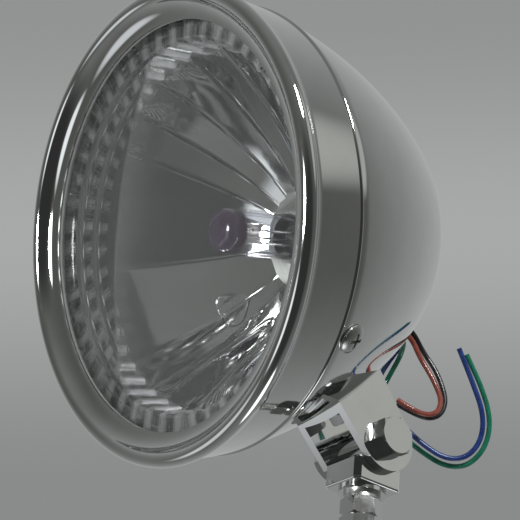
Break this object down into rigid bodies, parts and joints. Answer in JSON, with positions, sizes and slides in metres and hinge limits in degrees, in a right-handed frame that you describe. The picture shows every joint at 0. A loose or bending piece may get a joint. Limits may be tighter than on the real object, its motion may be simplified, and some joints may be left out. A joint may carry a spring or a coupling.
{
  "type": "motorcycle headlight",
  "caption": "Round chrome motorcycle headlight with a clear lens over a faceted reflector, tilting on a bottom bracket with a threaded stud, wires out of the back.",
  "frame": {"origin": "on the mounting stud's axis where its full diameter starts at its free end, 0.6 mm above the chamfered tip", "axes": "-Z along the stud, out of the lamp towards what it is bolted to; the light leaves towards -Y, tipped 20 degrees down at rest; the tilt axis is X"},
  "size_m": [0.165, 0.18, 0.1778],
  "materials": {
    "chrome": "bright chrome plating",
    "zinc_steel": "bright zinc plated steel",
    "spring_steel": "plain spring steel",
    "clear_glass": "clear pressed glass",
    "bulb_glass": "clear bulb glass with a dark tip",
    "filament": "drawn wire",
    "reflector": "aluminised facets",
    "black_rubber": "matte rubber",
    "terminal_brass": "tinned brass",
    "white_plastic": "moulded plug plastic",
    "wire_black": "wire insulation",
    "wire_red": "wire insulation",
    "wire_blue": "wire insulation",
    "wire_green": "wire insulation"
  },
  "bodies": {
    "mount": {"swivel_block": "chrome", "mount_stud": "zinc_steel", "stud_washer": "chrome", "stud_spring_washer": "zinc_steel", "stud_nut": "chrome", "stud_lock_nut": "chrome"},
    "lamp": {"trim_ring": "chrome", "headlight_bucket": "chrome", "ring_straps": "zinc_steel", "ring_hook": "zinc_steel", "side_screws": "zinc_steel", "strap_nuts": "zinc_steel", "lens": "clear_glass", "lens_gasket": "black_rubber", "reflector": "reflector", "unit_clips": "spring_steel", "bulb_glass": "bulb_glass", "bulb_filaments": "filament", "bulb_base": "zinc_steel", "bulb_terminals": "terminal_brass", "bulb_clip": "spring_steel", "bulb_boot": "black_rubber", "bulb_plug": "white_plastic", "position_holder": "black_rubber", "position_bulb": "bulb_glass", "mount_bracket": "chrome", "bracket_backing": "zinc_steel", "bracket_bolt": "zinc_steel", "bracket_nut": "zinc_steel", "pivot_bolt": "chrome", "pivot_washer": "chrome", "pivot_nut": "chrome", "wire_grommet": "black_rubber", "inner_leads": "wire_black", "wire_black": "wire_black", "wire_red": "wire_red", "wire_blue": "wire_blue", "wire_green": "wire_green"}
  },
  "joints": [
    {"name": "lamp_tilt", "type": "hinge", "parent": "mount", "child": "lamp", "pos_m": [0, 0, 0.044], "axis": [1, 0, 0], "range_deg": [-30, 15]}
  ]
}
